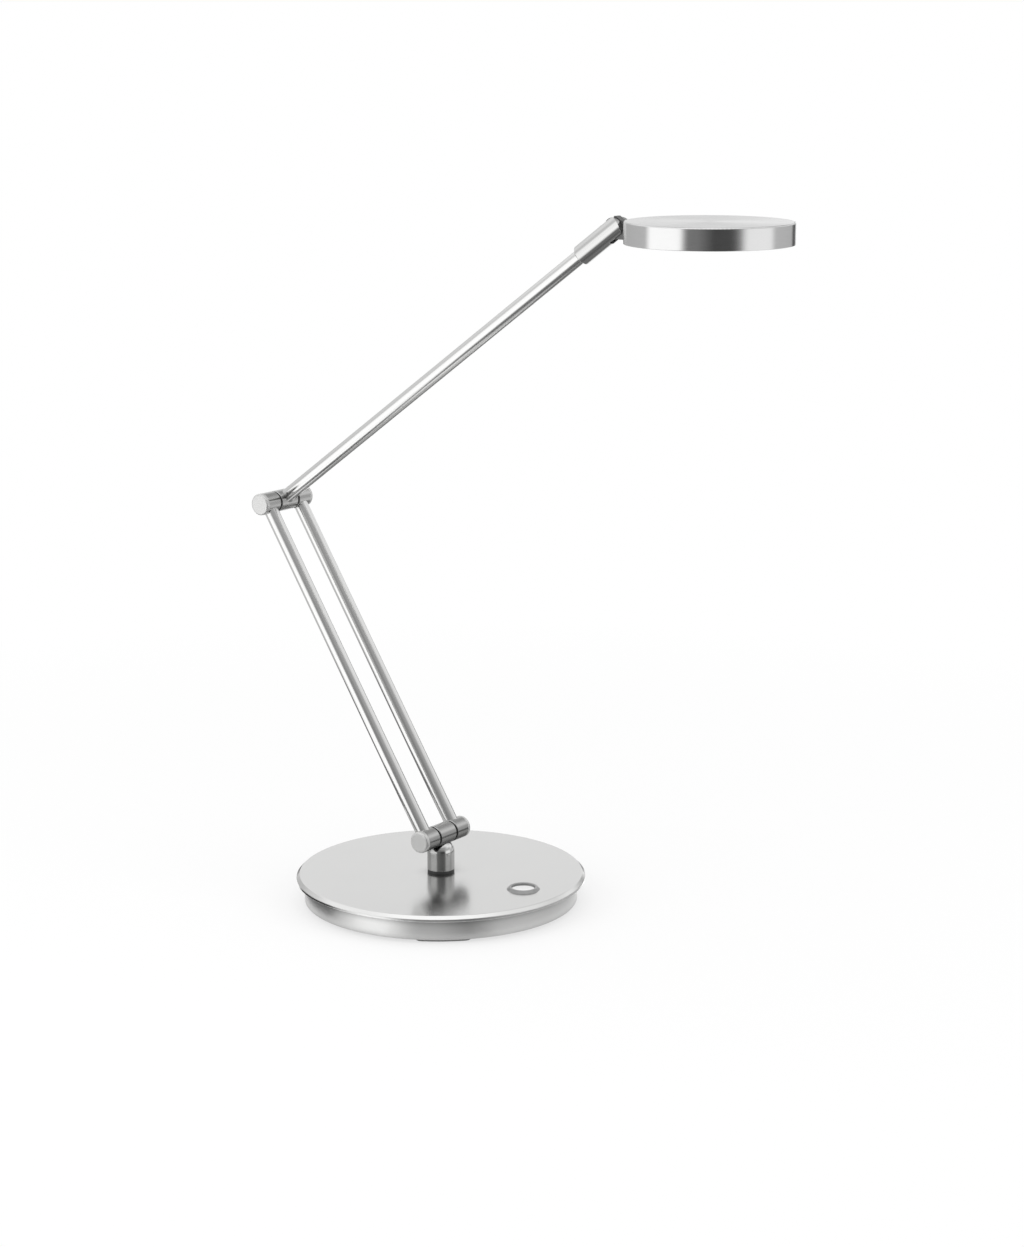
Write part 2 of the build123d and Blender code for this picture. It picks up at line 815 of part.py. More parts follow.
with BuildPart() as arm_root_plug:
    with BuildSketch(along(elbow_axis, upper_direction, distance=stud_end)):
        Circle(stud_diameter / 2)
    extrude(amount=tube_seat - stud_end)
    with BuildSketch(along(elbow_axis, upper_direction, distance=tube_seat)):
        Circle(tube_bore)
    extrude(amount=plug_length)
    with BuildSketch(along(elbow_axis, upper_direction)):
        Circle(lead_hole)
    extrude(amount=tube_seat + plug_length, mode=Mode.SUBTRACT)
write(arm_root_plug, "arm_root_plug")

with BuildPart() as arm_tip_plug:
    with BuildSketch(along(elbow_axis, upper_direction, distance=arm_end - plug_length)):
        Circle(tube_bore)
        Circle(roll_screw_diameter / 2, mode=Mode.SUBTRACT)
    extrude(amount=plug_length)
write(arm_tip_plug, "arm_tip_plug")

with BuildPart() as arm_lead:
    with BuildSketch(along(elbow_axis, upper_direction, distance=stud_end)):
        Circle(lead_radius)
    extrude(amount=arm_end - plug_length - stud_end)
write(arm_lead, "arm_lead")

with BuildPart() as roll_bush:
    with BuildSketch(along(elbow_axis, upper_direction, distance=sleeve_start + bush_inset)):
        Circle(tube_radius + bush_thickness)
        Circle(tube_radius, mode=Mode.SUBTRACT)
    extrude(amount=bush_length)
write(roll_bush, "roll_bush")

with BuildPart() as roll_screw:
    with BuildSketch(along(elbow_axis, upper_direction, distance=arm_end - roll_screw_depth)):
        Circle(roll_screw_diameter / 2)
    extrude(amount=roll_screw_depth + web_gap + web_thickness + web_gap)
    with BuildSketch(along(elbow_axis, upper_direction, distance=web_end + web_gap)):
        Circle(roll_screw_head_diameter / 2)
    extrude(amount=roll_screw_head_height)
write(roll_screw, "roll_screw")

# Sleeve: bored from behind for the arm, slotted in front for the head's tongue, rounded about the hinge pin
slot_half = tongue_thickness / 2 + tilt_washer_thickness + 2 * running_clearance
arm_side = Plane(origin=elbow_axis, x_dir=upper_direction, z_dir=(0, -1, 0))
pin_near_end = hinge_pin_cover - sleeve_radius
pin_far_end = sleeve_radius - hinge_pin_recess

with BuildPart() as head_sleeve:
    with BuildSketch(along(elbow_axis, upper_direction, distance=sleeve_start)):
        Circle(sleeve_radius)
    extrude(amount=sleeve_length + sleeve_radius)
    chamfer(head_sleeve.faces().sort_by(Axis(elbow_axis, upper_direction))[0].edges(), sleeve_chamfer)
    with BuildSketch(arm_side):
        with Locations((sleeve_start, 0)):
            Rectangle(sleeve_length, sleeve_diameter, align=(Align.MIN, Align.CENTER))
        with Locations((upper_arm_length, 0)):
            Circle(sleeve_radius)
    extrude(amount=sleeve_diameter, both=True, mode=Mode.INTERSECT)
    with BuildSketch(along(elbow_axis, upper_direction, distance=sleeve_start)):
        Circle(tube_radius + bush_thickness + running_clearance)
    extrude(amount=web_start - sleeve_start, mode=Mode.SUBTRACT)
    with BuildSketch(along(elbow_axis, upper_direction, distance=web_start)):
        Circle(roll_screw_diameter / 2 + running_clearance)
    extrude(amount=web_thickness, mode=Mode.SUBTRACT)
    with BuildSketch(along(elbow_axis, upper_direction, distance=web_end)):
        Circle(roll_screw_head_diameter / 2 + loose_clearance)
    extrude(amount=slot_start - web_end, mode=Mode.SUBTRACT)
    with BuildSketch(along(elbow_axis, upper_direction, distance=slot_start)):
        Rectangle(2 * slot_half, sleeve_diameter)
    extrude(amount=sleeve_length, mode=Mode.SUBTRACT)
    with BuildSketch(across(tilt_axis, pin_near_end)):
        Circle(hinge_pin_diameter / 2)
    extrude(amount=sleeve_diameter, mode=Mode.SUBTRACT)
write(head_sleeve, "head_sleeve")

# Hinge pin, pressed in from the far side and hidden on the near side
with BuildPart() as hinge_pin:
    with BuildSketch(across(tilt_axis, pin_near_end)):
        Circle(hinge_pin_diameter / 2)
    extrude(amount=pin_far_end - pin_near_end)
write(hinge_pin, "hinge_pin")

with BuildPart() as tilt_washers:
    for side in sides.values():
        with BuildSketch(across(tilt_axis, side * slot_half)):
            Circle(tilt_washer_diameter / 2)
            Circle(hinge_pin_diameter / 2, mode=Mode.SUBTRACT)
        extrude(amount=-side * tilt_washer_thickness)
write(tilt_washers, "tilt_washers")

# Head shell: a shallow cup that opens downwards
shell_bore = head_radius - shell_wall
head_top = head_centre.Z + head_thickness / 2
head_bottom = head_top - head_thickness
head_spot = (head_centre.X, head_centre.Y)
ceiling = head_top - shell_top
pad_under = ceiling - pad_thickness
led_board_under = pad_under - led_board_thickness
ring_under = head_bottom + diffuser_ring_recess
diffuser_under = ring_under + diffuser_ring_thickness
diffuser_top = diffuser_under + diffuser_thickness
reflector_top = shell_bore - reflector_foot
reflector_mouth = reflector_top + reflector_flare
led_screw_radius = reflector_top - led_screw_margin - led_screw_head_diameter / 2
led_ring_spacing = led_screw_radius / (led_rings + 0.5)
rim_front = Plane(
    origin=(head_centre.X - head_radius, 0, head_centre.Z), x_dir=(0, 1, 0), z_dir=(1, 0, 0)
)

with BuildPart() as head_shell:
    with BuildSketch(level(head_bottom)):
        with Locations(head_spot):
            Circle(head_radius)
    extrude(amount=head_thickness)
    fillet(head_shell.edges().filter_by(GeomType.CIRCLE).sort_by(Axis.Z)[-1], head_edge_round)
    fillet(head_shell.edges().filter_by(GeomType.CIRCLE).sort_by(Axis.Z)[0], head_foot_round)
    with BuildSketch(level(head_bottom)):
        with Locations(head_spot):
            Circle(shell_bore)
    extrude(amount=head_thickness - shell_top, mode=Mode.SUBTRACT)
    with BuildSketch(level(ceiling)):
        with Locations(head_spot):
            with PolarLocations(led_screw_radius, led_screw_count, start_angle=30):
                Circle(led_screw_diameter / 2)
    extrude(amount=led_screw_bite, mode=Mode.SUBTRACT)
    with BuildSketch(rim_front):
        with GridLocations(bracket_screw_spacing, 0, 2, 1):
            Circle(bracket_screw_diameter / 2)
    extrude(amount=2 * shell_wall, mode=Mode.SUBTRACT)
write(head_shell, "head_shell")

# Hinge bracket: tongue on the pin, a neck with a crest in front of it and a foot against the rim
neck_end = neck_setback + neck_length
neck_bottom = -tongue_radius
neck_height = neck_rise - neck_bottom
bracket_top = head_lift + bracket_height / 2
bracket_bottom = head_lift - bracket_height / 2
hinge_side = Plane(origin=tilt_axis, x_dir=(1, 0, 0), z_dir=(0, -1, 0))

with BuildPart() as head_bracket:
    with BuildSketch(hinge_side):
        Circle(tongue_radius)
        with BuildLine():
            Polyline(
                (neck_setback, neck_rise),
                (neck_setback + neck_crest, neck_rise),
                (neck_setback + neck_shoulder, bracket_top),
                (hinge_to_rim, bracket_top),
                (hinge_to_rim, bracket_bottom),
                (neck_end, neck_bottom),
                (neck_setback, neck_bottom),
                close=True,
            )
        make_face()
    extrude(amount=tongue_thickness / 2, both=True)
    with BuildSketch(rim_front.offset(-bracket_thickness)):
        Rectangle(bracket_width, bracket_height)
    extrude(amount=2 * bracket_thickness)
    with BuildSketch(level(head_bottom - neck_height)):
        with Locations(head_spot):
            Circle(head_radius)
    extrude(amount=head_thickness + 2 * neck_height, mode=Mode.SUBTRACT)
    with BuildSketch(across(tilt_axis, -tongue_thickness / 2)):
        Circle(hinge_pin_diameter / 2 + running_clearance)
    extrude(amount=tongue_thickness, mode=Mode.SUBTRACT)
    with BuildSketch(rim_front.offset(-bracket_screw_depth)):
        with GridLocations(bracket_screw_spacing, 0, 2, 1):
            Circle(bracket_screw_diameter / 2)
    extrude(amount=bracket_screw_depth + bracket_thickness, mode=Mode.SUBTRACT)
write(head_bracket, "head_bracket")

screw_edge = (bracket_screw_spacing + bracket_screw_head_diameter) / 2
screw_seat = head_radius - math.sqrt(shell_bore**2 - screw_edge**2)

with BuildPart() as bracket_screws:
    with BuildSketch(rim_front.offset(-bracket_screw_depth)):
        with GridLocations(bracket_screw_spacing, 0, 2, 1):
            Circle(bracket_screw_diameter / 2)
    extrude(amount=bracket_screw_depth + screw_seat)
    with BuildSketch(rim_front.offset(screw_seat)):
        with GridLocations(bracket_screw_spacing, 0, 2, 1):
            Circle(bracket_screw_head_diameter / 2)
    extrude(amount=bracket_screw_head_height)
write(bracket_screws, "bracket_screws")

# Light engine: pad, board, LEDs, screws, reflector, diffuser and its ring
led_board_radius = shell_bore - led_board_margin

with BuildPart() as thermal_pad:
    with BuildSketch(level(pad_under)):
        with Locations(head_spot):
            Circle(led_board_radius - pad_margin)
            with PolarLocations(led_screw_radius, led_screw_count, start_angle=30):
                Circle(led_screw_diameter / 2, mode=Mode.SUBTRACT)
    extrude(amount=pad_thickness)
write(thermal_pad, "thermal_pad")

with BuildPart() as led_board:
    with BuildSketch(level(led_board_under)):
        with Locations(head_spot):
            Circle(led_board_radius)
            with PolarLocations(led_screw_radius, led_screw_count, start_angle=30):
                Circle(led_screw_diameter / 2, mode=Mode.SUBTRACT)
    extrude(amount=led_board_thickness)
write(led_board, "led_board")

with BuildPart() as led_chips:
    with BuildSketch(level(led_board_under)):
        with Locations(head_spot):
            for ring in range(1, led_rings + 1):
                with PolarLocations(ring * led_ring_spacing, ring * leds_in_first_ring):
                    Rectangle(led_width, led_length)
    extrude(amount=-led_height)
write(led_chips, "led_chips")

with BuildPart() as led_screws:
    with BuildSketch(level(led_board_under)):
        with Locations(head_spot):
            with PolarLocations(led_screw_radius, led_screw_count, start_angle=30):
                Circle(led_screw_head_diameter / 2)
    extrude(amount=-led_screw_head_height)
    with BuildSketch(level(led_board_under)):
        with Locations(head_spot):
            with PolarLocations(led_screw_radius, led_screw_count, start_angle=30):
                Circle(led_screw_diameter / 2)
    extrude(amount=led_board_thickness + pad_thickness + led_screw_bite)
write(led_screws, "led_screws")

head_side = Plane.XZ.shift_origin((head_centre.X, 0, 0))

with BuildPart() as reflector:
    with BuildSketch(head_side):
        with BuildLine():
            Polyline(
                (reflector_top, led_board_under),
                (reflector_top + reflector_wall, led_board_under),
                (reflector_mouth + reflector_wall, diffuser_top),
                (reflector_mouth, diffuser_top),
                close=True,
            )
        make_face()
    revolve(axis=Axis((head_centre.X, 0, 0), (0, 0, 1)))
write(reflector, "reflector")

with BuildPart() as diffuser:
    with BuildSketch(level(diffuser_under)):
        with Locations(head_spot):
            Circle(shell_bore - diffuser_gap)
    extrude(amount=diffuser_thickness)
write(diffuser, "diffuser")

with BuildPart() as diffuser_ring:
    with BuildSketch(level(ring_under)):
        with Locations(head_spot):
            Circle(shell_bore)
            Circle(shell_bore - diffuser_ring_width, mode=Mode.SUBTRACT)
    extrude(amount=diffuser_ring_thickness)
write(diffuser_ring, "diffuser_ring")
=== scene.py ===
"""Looks of the LED desk lamp: procedural finishes, a pale studio and the photograph's view.

Metres, +Z up, +X towards the head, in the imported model's own frame.
"""

import json
import math

import bpy
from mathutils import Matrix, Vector


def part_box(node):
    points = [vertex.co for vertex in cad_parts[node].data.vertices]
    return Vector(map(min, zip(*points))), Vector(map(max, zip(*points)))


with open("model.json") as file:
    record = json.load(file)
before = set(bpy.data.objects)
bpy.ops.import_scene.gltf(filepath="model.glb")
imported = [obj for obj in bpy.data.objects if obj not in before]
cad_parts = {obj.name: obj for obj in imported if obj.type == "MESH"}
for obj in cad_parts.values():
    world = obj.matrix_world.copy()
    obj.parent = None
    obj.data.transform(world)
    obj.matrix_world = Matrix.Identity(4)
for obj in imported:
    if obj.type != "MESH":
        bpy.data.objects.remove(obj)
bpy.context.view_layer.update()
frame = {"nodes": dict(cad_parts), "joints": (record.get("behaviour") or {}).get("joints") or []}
nodes = frame["nodes"]
joints = {joint["name"]: joint for joint in frame["joints"]}
scene = bpy.context.scene
scene.view_settings.view_transform = "Standard"

# Camera: its angles in degrees, its lens and sensor in millimetres
camera_place = Vector((1.1025, -1.4559, 0.6045))
camera_pitch = 77.392
camera_turn = 35.59
camera_lens = 79.43
camera_sensor = 36.0

camera_data = bpy.data.cameras.new("camera")
camera_data.sensor_width = camera_sensor
camera_data.lens = camera_lens
camera = bpy.data.objects.new("camera", camera_data)
camera.location = camera_place
camera.rotation_euler = (math.radians(camera_pitch), 0, math.radians(camera_turn))
scene.collection.objects.link(camera)
scene.camera = camera

# Detail that the finishes share
grain_detail = 3.0
broad_detail = 2.0
streak_detail = 4.0
streak_stretch = 60
edge_samples = 4
edge_likeness = 0.86
flat_likeness = 0.995
# Painted shade where other surfaces stand close: its samples, and the openness below which the shade is
# fully dark
crevice_samples = 8
fully_shaded_below = 0.25

# Detail of the metals. The smoothest and roughest spots are shares of a metal's roughness.
haze_size = 0.03
haze_smoother = -0.02
haze_rougher = 0.03
metal_edge_radius = 0.0003
metal_edge_wear = 0.5
metal_edge_shine = 1.18
metal_relief_depth = 0.00004
metal_smoothest = 0.8
metal_roughest = 1.2

# Detail of the moulded pieces
patch_size = 0.008
moulded_edge_radius = 0.0002
moulded_edge_wear = 0.35
moulded_edge_shine = 1.5
moulded_edge_lift = 0.02
moulded_relief_depth = 0.00005
moulded_roughness_swing = 0.08


def add_node(tree, kind, inputs=None, **settings):
    """New node with its settings, and its inputs as numbers or as links from other sockets."""
    node = tree.nodes.new(kind)
    for key, value in settings.items():
        setattr(node, key, value)
    for name, value in (inputs or {}).items():
        if isinstance(value, bpy.types.NodeSocket):
            tree.links.new(value, node.inputs[name])
        else:
            node.inputs[name].default_value = value
    return node


def calculate(tree, operation, first, second):
    """Socket with the result of one arithmetic step."""
    return add_node(tree, "ShaderNodeMath", {0: first, 1: second}, operation=operation).outputs[0]


def vectors(tree, operation, first, second=(0, 0, 0)):
    """Node with the result of one step on vectors."""
    return add_node(tree, "ShaderNodeVectorMath", {0: first, 1: second}, operation=operation)


def spread(tree, value, low, high, start=0.25, end=0.75):
    """Socket that carries a pattern's values into a range of another quantity."""
    node = add_node(
        tree,
        "ShaderNodeMapRange",
        {"Value": value, "From Min": start, "From Max": end, "To Min": low, "To Max": high},
    )
    return node.outputs["Result"]


def mix_colours(tree, factor, first, second):
    """Socket with a colour between two others."""
    node = add_node(tree, "ShaderNodeMix", {"Factor": factor, "A": first, "B": second}, data_type="RGBA")
    return node.outputs["Result"]


def tint(colour, share, lift=0.0):
    """Colour made lighter or darker, with its alpha."""
    return (*[min(1.0, share * part + lift) for part in colour], 1)


def grey(level):
    """Neutral colour."""
    return (level, level, level)


def new_material(name):
    """New material with its tree and its surface shader."""
    material = bpy.data.materials.new(name)
    material.use_nodes = True
    return material, material.node_tree, material.node_tree.nodes["Principled BSDF"]


def local_place(tree, centre=(0, 0, 0), turn=(0, 0, 0)):
    """Socket with the position measured from a piece's centre, with +Z along the piece's axis."""
    place = add_node(tree, "ShaderNodeTexCoord")
    local = add_node(
        tree,
        "ShaderNodeMapping",
        {"Vector": place.outputs["Object"], "Location": centre, "Rotation": turn},
        vector_type="TEXTURE",
    )
    return local.outputs["Vector"]


def speckle(tree, place, size, detail=grain_detail):
    """Socket with an even noise whose grains have the given size."""
    settings = {"Vector": place, "Scale": 1.0 / size, "Detail": detail}
    return add_node(tree, "ShaderNodeTexNoise", settings).outputs["Fac"]


def lengthwise_streaks(tree, place, width):
    """Socket with fine streaks that run along the piece's axis."""
    length = width * streak_stretch
    stretched = vectors(tree, "MULTIPLY", place, (1 / width, 1 / width, 1 / length))
    settings = {"Vector": stretched.outputs["Vector"], "Scale": 1.0, "Detail": streak_detail}
    return add_node(tree, "ShaderNodeTexNoise", settings).outputs["Fac"]


def turned_streaks(tree, place, width, turns):
    """Socket with fine streaks that run round the piece's axis, on its wall and on its ends."""
    flat = vectors(tree, "MULTIPLY", place, (1, 1, 0)).outputs["Vector"]
    radius = vectors(tree, "LENGTH", flat).outputs["Value"]
    bearing = vectors(tree, "NORMALIZE", flat).outputs["Vector"]
    parts = add_node(tree, "ShaderNodeSeparateXYZ", {"Vector": place})
    facing = add_node(tree, "ShaderNodeSeparateXYZ", {"Vector": bearing})
    across = add_node(
        tree,
        "ShaderNodeCombineXYZ",
        {
            "X": calculate(tree, "DIVIDE", radius, width),
            "Y": calculate(tree, "DIVIDE", parts.outputs["Z"], width),
            "Z": calculate(tree, "MULTIPLY", facing.outputs["X"], turns),
        },
    )
    settings = {
        "Vector": across.outputs["Vector"],
        "W": calculate(tree, "MULTIPLY", facing.outputs["Y"], turns),
        "Scale": 1.0,
        "Detail": streak_detail,
    }
    return add_node(tree, "ShaderNodeTexNoise", settings, noise_dimensions="4D").outputs["Fac"]


def axis_tangent(tree, place, turn):
    """Socket with the direction in which a turned finish spreads its highlights."""
    outward = vectors(tree, "NORMALIZE", place).outputs["Vector"]
    leaning = vectors(tree, "ADD", outward, (0, 0, 1)).outputs["Vector"]
    turned = add_node(
        tree, "ShaderNodeMapping", {"Vector": leaning, "Rotation": turn}, vector_type="VECTOR"
    )
    world = add_node(
        tree,
        "ShaderNodeVectorTransform",
        {"Vector": turned.outputs["Vector"]},
        vector_type="VECTOR",
        convert_from="OBJECT",
        convert_to="WORLD",
    )
    return world.outputs["Vector"]


def soft_edges(tree, radius):
    """Sockets with normals rounded at the edges, and with a mask that is 1 on the edges."""
    rounded = add_node(tree, "ShaderNodeBevel", {"Radius": radius}, samples=edge_samples).outputs["Normal"]
    true_normal = add_node(tree, "ShaderNodeNewGeometry").outputs["Normal"]
    likeness = vectors(tree, "DOT_PRODUCT", rounded, true_normal).outputs["Value"]
    return rounded, spread(tree, likeness, 1.0, 0.0, edge_likeness, flat_likeness)


def rub_edges(tree, surface, edges, share, rubbed):
    """Socket with a colour that turns towards the rubbed one on the edges."""
    return mix_colours(tree, calculate(tree, "MULTIPLY", edges, share), surface, rubbed)


def openness(tree, reach):
    """Socket that is 1 in the open and falls to 0 where other surfaces stand within reach; the metals paint
    shade with it.
    """
    node = add_node(tree, "ShaderNodeAmbientOcclusion", {"Distance": reach}, samples=crevice_samples)
    return node.outputs["AO"]


def cover_shader(tree, shader, colour, roughness, height, relief, depth, normals):
    """Lead a colour, a roughness and a relief into the surface shader."""
    bump = add_node(
        tree, "ShaderNodeBump", {"Strength": relief, "Distance": depth, "Height": height, "Normal": normals}
    )
    tree.links.new(colour, shader.inputs["Base Color"])
    tree.links.new(roughness, shader.inputs["Roughness"])
    tree.links.new(bump.outputs["Normal"], shader.inputs["Normal"])


def metal(
    name,
    colour,
    roughness,
    finish="even",
    centre=(0, 0, 0),
    turn=(0, 0, 0),
    grain=0.0003,
    streak=6.0,
    anisotropy=0.0,
    relief=0.06,
    contrast=0.03,
    edge_tint=(1, 1, 1),
    crevice=0.0,
    dullness=0.75,
    clear_from=0.75,
):
    """Metal with a ground or turned grain, hazy patches, edges rubbed brighter, and shade painted in where
    other surfaces stand close.
    """
    material, tree, shader = new_material(name)
    place = local_place(tree, centre, turn)
    if finish == "turned":
        lines = turned_streaks(tree, place, grain, streak)
    elif finish == "lengthwise":
        lines = lengthwise_streaks(tree, place, grain)
    else:
        lines = speckle(tree, place, grain)
    haze = speckle(tree, place, haze_size, broad_detail)
    normals, edges = soft_edges(tree, metal_edge_radius)
    tone = mix_colours(
        tree, spread(tree, lines, 0.0, 1.0), tint(colour, 1 - contrast), tint(colour, 1 + contrast)
    )
    surface = rub_edges(tree, tone, edges, metal_edge_wear, tint(colour, metal_edge_shine))
    # Painted shade: the colour falls towards a dark copy of the metal in crevices and under parts, where
    # other surfaces stand close
    if crevice:
        clear = spread(tree, openness(tree, crevice), 0.0, 1.0, fully_shaded_below, clear_from)
        surface = mix_colours(tree, clear, tint(colour, 1 - dullness), surface)
    ground = spread(tree, lines, roughness * metal_smoothest, roughness * metal_roughest)
    clouded = calculate(tree, "ADD", ground, spread(tree, haze, haze_smoother, haze_rougher))
    cover_shader(tree, shader, surface, clouded, lines, relief, metal_relief_depth, normals)
    shader.inputs["Metallic"].default_value = 1.0
    shader.inputs["Specular Tint"].default_value = (*edge_tint, 1)
    if anisotropy:
        shader.inputs["Anisotropic"].default_value = anisotropy
        tree.links.new(axis_tangent(tree, place, turn), shader.inputs["Tangent"])
    return material


def moulded(name, colour, roughness, grain=0.0004, relief=0.2, variation=0.15):
    """Plastic, rubber, card or casting with a fine grain, uneven tone and paler edges."""
    material, tree, shader = new_material(name)
    place = local_place(tree)
    grains = speckle(tree, place, grain)
    patches = speckle(tree, place, patch_size, broad_detail)
    normals, edges = soft_edges(tree, moulded_edge_radius)
    tone = mix_colours(
        tree, spread(tree, patches, 0.0, 1.0), tint(colour, 1 - variation), tint(colour, 1 + variation)
    )
    pale = tint(colour, moulded_edge_shine, moulded_edge_lift)
    surface = rub_edges(tree, tone, edges, moulded_edge_wear, pale)
    smoothest = roughness - moulded_roughness_swing
    roughest = roughness + moulded_roughness_swing
    mottled = spread(tree, grains, smoothest, roughest)
    cover_shader(tree, shader, surface, mottled, grains, relief, moulded_relief_depth, normals)
    return material


def dress(material, *names):
    """Give CAD nodes a material."""
    for name in names:
        slots = nodes[name].data.materials
        slots.clear()
        slots.append(material)


# Axes that the finishes follow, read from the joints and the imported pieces
lower_axis = Vector(joints["lower_tilt"]["pos_m"])
elbow_axis = Vector(joints["elbow_bend"]["pos_m"])
tilt_axis = Vector(joints["head_tilt"]["pos_m"])
head_low, head_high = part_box("head_shell")
head_centre = (head_low + head_high) / 2
button_low, button_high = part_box("button_cap")
button_centre = (button_low + button_high) / 2
barrel_turn = (math.radians(-90), 0, 0)
rod_run = elbow_axis - lower_axis
rod_turn = (0, math.atan2(rod_run.x, rod_run.z), 0)
arm_run = tilt_axis - elbow_axis
arm_turn = (0, math.atan2(arm_run.x, arm_run.z), 0)

# Colours of the metals
nickel = (0.66, 0.66, 0.655)
barrel_nickel = (0.46, 0.46, 0.455)
sleeve_nickel = (0.57, 0.57, 0.565)
aluminium = grey(0.64)
steel = grey(0.56)
chrome = grey(0.86)
brass = (0.72, 0.55, 0.28)


def barrel_metal(name, axis, **crevices):
    """Darker nickel of a hinge barrel, turned about the barrel's axis, with its painted shade settings
    passed on.
    """
    return metal(name, barrel_nickel, 0.2, "turned", axis, barrel_turn, anisotropy=0.5, **crevices)


def tube_metal(name, colour, roughness, axis, turn):
    """Nickel of a tube, ground along the tube."""
    return metal(name, colour, roughness, "lengthwise", axis, turn, relief=0.03, contrast=0.02)


# Metals
# The plate's painted shade darkens it round the post's foot and under the barrel
dress(metal("plate_satin", nickel, 0.18, grain=0.0004, crevice=0.03, dullness=0.5), "base_plate")
# The skirt's painted shade is a dark band just under the plate's overhang
dress(
    metal(
        "skirt_brushed",
        nickel,
        0.34,
        "turned",
        anisotropy=0.6,
        crevice=0.006,
        dullness=0.85,
        clear_from=0.95,
    ),
    "base_skirt",
)
# The post's painted shade darkens its foot and its top under the hub
dress(metal("post_turned", nickel, 0.1, "turned", anisotropy=0.4, crevice=0.08, dullness=0.7), "post")
# The lower barrel's painted shade darkens the hub's underside above the plate
dress(
    barrel_metal("lower_barrel_turned", lower_axis, crevice=0.12, dullness=0.95, clear_from=0.9),
    "lower_hub",
    "lower_knuckle_near",
    "lower_knuckle_far",
)
# The elbow barrel's painted shade darkens it where the rods meet it
dress(
    barrel_metal("elbow_barrel_turned", elbow_axis, crevice=0.05),
    "elbow_hub",
    "elbow_knuckle_near",
    "elbow_knuckle_far",
)
dress(metal("cap_satin", nickel, 0.52, relief=0.03), "end_caps")
dress(tube_metal("rod_satin", nickel, 0.17, lower_axis, rod_turn), "rod_near", "rod_far")
dress(tube_metal("arm_satin", nickel, 0.17, elbow_axis, arm_turn), "upper_arm")
dress(tube_metal("sleeve_satin", sleeve_nickel, 0.14, elbow_axis, arm_turn), "head_sleeve")
dress(
    metal("head_brushed", aluminium, 0.16, "turned", head_centre, anisotropy=0.5, edge_tint=grey(0.8)),
    "head_shell",
    "diffuser_ring",
)
dress(metal("button_chrome", chrome, 0.1, "turned", button_centre, grain=0.0002, streak=2.0), "button_cap")
dress(
    metal("zinc_steel", steel, 0.3, grain=0.001),
    "cover_screws",
    "barrel_bolts",
    "barrel_nuts",
    "stem_nut",
    "spring_washer",
    "stop_washer",
    "swivel_stem",
    "stop_pin",
    "hinge_pin",
    "bracket_screws",
    "led_screws",
    "roll_screw",
    "cover_bosses",
    "inlet_nut",
    "switch_dome",
)
dress(metal("turned_brass", brass, 0.25), "rod_plugs", "arm_root_plug", "arm_tip_plug", "inlet_pin")

# Plastics, rubber, casting and boards
dress(
    moulded("black_plastic", grey(0.03), 0.45),
    "base_cover",
    "switch_housing",
    "power_inlet",
    "swivel_washer",
)
# The bracket is dark grey moulding, and its darkness also paints the shade in the gap between the sleeve
# and the head
dress(moulded("bracket_grey_and_gap_shade", grey(0.1), 0.4), "head_bracket")
dress(moulded("bezel_grey", grey(0.26), 0.3), "button_bezel")
dress(moulded("fibre", grey(0.05), 0.7), "friction_washers", "tilt_washers")
dress(moulded("nylon", (0.80, 0.79, 0.75), 0.45), "roll_bush", "board_standoffs", "switch_plunger")
dress(moulded("foot_rubber", grey(0.45), 0.75, grain=0.0006), "rubber_feet")
dress(moulded("cast_iron", grey(0.16), 0.65, grain=0.0015, relief=0.5), "base_weight")
dress(moulded("lead_sheath", grey(0.05), 0.6), "inlet_lead", "stem_lead", "rod_lead", "arm_lead")
dress(moulded("board_green", (0.05, 0.20, 0.10), 0.35), "driver_board")
dress(moulded("board_parts", (0.06, 0.06, 0.07), 0.4), "board_components")
dress(moulded("led_board_white", grey(0.86), 0.4, variation=0.04), "led_board")
dress(moulded("led_phosphor", (0.90, 0.80, 0.35), 0.3), "led_chips")
dress(moulded("thermal_grey", (0.45, 0.47, 0.50), 0.8), "thermal_pad")
dress(moulded("reflector_white", grey(0.9), 0.5, variation=0.03), "reflector")
dress(moulded("opal", (0.92, 0.92, 0.90), 0.35, variation=0.02, relief=0.05), "diffuser")

# Studio. Bearings are in degrees from the camera's side of the lamp, positive to the camera's right.
studio_turn = math.radians(camera_turn)
towards_camera = Vector((math.sin(studio_turn), -math.cos(studio_turn), 0))
camera_right = Vector((math.cos(studio_turn), math.sin(studio_turn), 0))


def round_about(bearing, distance, height):
    """Point at a bearing and a distance from the post's axis."""
    angle = math.radians(bearing)
    flat = towards_camera * math.cos(angle) + camera_right * math.sin(angle)
    return flat * distance + Vector((0, 0, height))


# A layer of the studio has a ground tone, and cards and openings that lie over it, the later ones on top.
# Each card has its middle bearing, half its width, the width of its soft edge and its brightness.
foot_layer = (
    0.66,
    [(-112, 14, 8, 1.25), (-77, 18, 6, 0.05), (-33, 14, 16, 1.5), (15, 8, 14, 0.33), (112, 14, 10, 1.5)],
)
near_layer = (0.18, [(-38, 14, 12, 1.3)])
side_layer = (0.22, [(-78, 26, 14, 1.6)])
table_layer = (
    0.75,
    [(160, 40, 20, 1.4), (-63, 30, 12, 1.6), (6, 31, 10, 0.24), (16, 20, 20, 0.08), (65, 21, 9, 1.2)],
)
wall_tone = 0.66
wall_cards = [
    (180, 24, 8, 1.0),
    (165, 7, 5, 1.15),
    (-63, 28, 10, 1.5),
    (2, 34, 10, 0.24),
    (16, 20, 20, 0.08),
    (65, 21, 9, 1.2),
]
low_opening = (142, 8, 5, 0.12)
wall_foot_layer = (wall_tone, [*wall_cards, low_opening])
wall_layer = (wall_tone, wall_cards)
